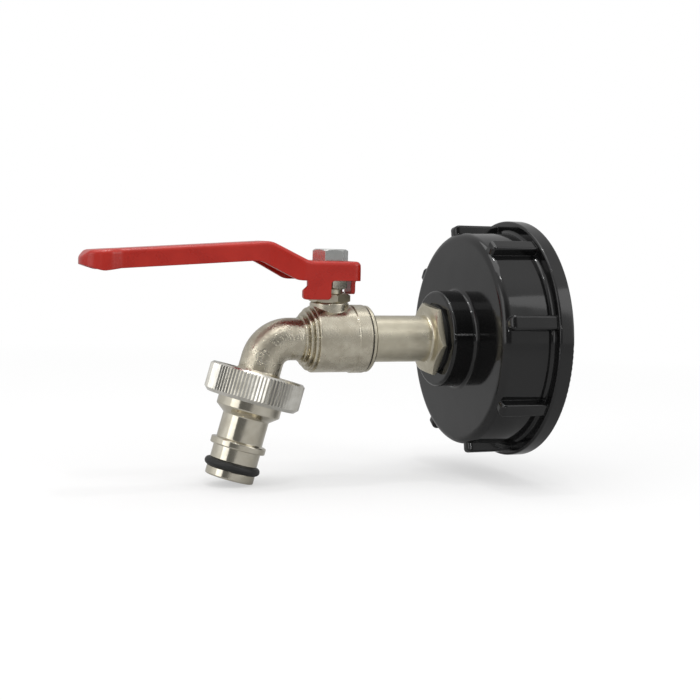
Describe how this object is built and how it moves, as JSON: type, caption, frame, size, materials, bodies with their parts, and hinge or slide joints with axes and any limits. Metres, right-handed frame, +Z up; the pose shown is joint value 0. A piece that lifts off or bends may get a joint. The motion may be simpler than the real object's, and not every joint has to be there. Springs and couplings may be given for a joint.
{
  "type": "ibc tank valve",
  "caption": "Lever ball tap on a coarse-thread tank cap, with a downturned spout, knurled union nut and quick-connect hose plug.",
  "frame": {"origin": "centre of the cap's open mouth, on the pipe axis", "axes": "+X along the pipe out of the cap's mouth towards the tank, +Z up along the valve stem, spout and open lever towards -X"},
  "size_m": [0.1517, 0.0806, 0.0874],
  "materials": {
    "cap_plastic": "gloss",
    "seal_rubber": "matte",
    "nickel_cast": "satin nickel plate on cast brass",
    "nickel_turned": "bright nickel plate on turned brass",
    "nickel_nut": "bright nickel plate, knurled",
    "ball_plate": "polished",
    "ptfe": "satin",
    "lever_red": "gloss vinyl coat",
    "zinc_screw": "zinc plated"
  },
  "bodies": {
    "tap": {"tank_cap": "cap_plastic", "cap_gasket": "seal_rubber", "boss_gasket": "seal_rubber", "inlet_tailpiece": "nickel_cast", "body_seal": "seal_rubber", "valve_body": "nickel_cast", "seat_ring_outlet": "ptfe", "seat_ring_inlet": "ptfe", "stem_washer": "ptfe", "stem_packing": "ptfe", "gland_nut": "nickel_turned"},
    "handle": {"lever": "lever_red", "lever_screw": "zinc_screw", "lever_spacer": "nickel_turned", "stem": "nickel_turned", "ball": "ball_plate"},
    "plug": {"hose_plug": "nickel_turned", "plug_o_ring": "seal_rubber", "union_gasket": "seal_rubber"},
    "nut": {"union_nut": "nickel_nut"}
  },
  "joints": [
    {"name": "lever_turn", "type": "hinge", "parent": "tap", "child": "handle", "pos_m": [-0.0694, 0, 0], "axis": [0, 0, 1], "range_deg": [-90, 0]},
    {"name": "plug_slide", "type": "slide", "parent": "tap", "child": "plug", "axis": [-0.2656, 0, -0.9641], "range_m": [0, 0.00363]},
    {"name": "nut_turn", "type": "hinge", "parent": "plug", "child": "nut", "pos_m": [-0.09419, 0, -0.01446], "axis": [-0.2656, 0, -0.9641], "range_deg": [0, 720]}
  ],
  "couplings": [
    {"joint": "nut_turn", "follows": "plug_slide", "rad_per_m": 3463.7}
  ]
}
